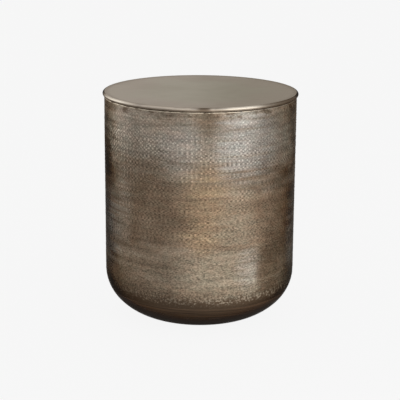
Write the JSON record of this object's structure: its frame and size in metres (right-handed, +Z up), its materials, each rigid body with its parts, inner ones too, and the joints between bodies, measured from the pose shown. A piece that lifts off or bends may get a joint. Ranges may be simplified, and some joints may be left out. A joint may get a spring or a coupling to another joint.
{
  "type": "drum side table",
  "caption": "Round metal drum side table: dimpled straight wall, smooth rounded base on rubber feet, and a flat lift-off lid with a rolled edge that closes the storage inside.",
  "frame": {"origin": "on the floor, under the middle of the table", "axes": "+Z up along the axis of the drum, -Y towards the picture's camera, +X to its right"},
  "size_m": [0.4, 0.4, 0.47],
  "materials": {
    "dimpled_sheet": "antique brass plated, patinated and lacquered",
    "dark_sheet": "darkened antique brass, smooth",
    "lid_sheet": "antique brass plated, satin",
    "under_lid_steel": "dark lacquered",
    "plain_steel": "drawn wire",
    "zinc_fasteners": "zinc plated",
    "foot_rubber": "moulded, matt"
  },
  "bodies": {
    "drum": {"drum_wall": "dimpled_sheet", "rim_wire": "plain_steel", "base_pan": "dark_sheet", "foot_1": "foot_rubber", "foot_2": "foot_rubber", "foot_3": "foot_rubber", "foot_4": "foot_rubber", "foot_screws": "zinc_fasteners", "foot_washers": "zinc_fasteners", "foot_nuts": "zinc_fasteners"},
    "lid": {"lid_top": "lid_sheet", "lid_wire": "plain_steel", "lid_collar": "under_lid_steel", "lid_brace_across": "under_lid_steel", "lid_brace_deep": "under_lid_steel"}
  },
  "joints": [
    {"name": "lid_lift", "type": "slide", "parent": "drum", "child": "lid", "axis": [0, 0, 1], "range_m": [0, 0.3]}
  ]
}
